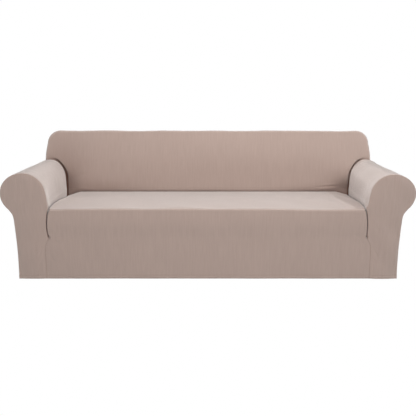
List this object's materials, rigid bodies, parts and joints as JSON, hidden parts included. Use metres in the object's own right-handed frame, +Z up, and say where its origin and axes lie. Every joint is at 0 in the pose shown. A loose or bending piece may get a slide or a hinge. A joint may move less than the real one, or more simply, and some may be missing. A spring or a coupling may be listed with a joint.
{
  "type": "sofa slipcover",
  "caption": "Fitted stretch-knit slipcover for a long rolled-arm sofa, hollow and open at its hem, with seat, back, arm and arm front panels.",
  "frame": {"origin": "the point under the cloth in the middle of the back's top, where the sofa's back carries the cover", "axes": "+X across the cover to the right seen from the front, +Y from the front to the rear, +Z up"},
  "size_m": [2.355, 0.8779, 0.808],
  "materials": {
    "knit": "matt taupe stretch knit with fine upright ribs"
  },
  "bodies": {
    "root": {"seat_front": "knit", "inside_back": "knit", "outside_back": "knit", "arm_left": "knit", "arm_right": "knit", "arm_front_left": "knit", "arm_front_right": "knit"}
  },
  "joints": []
}
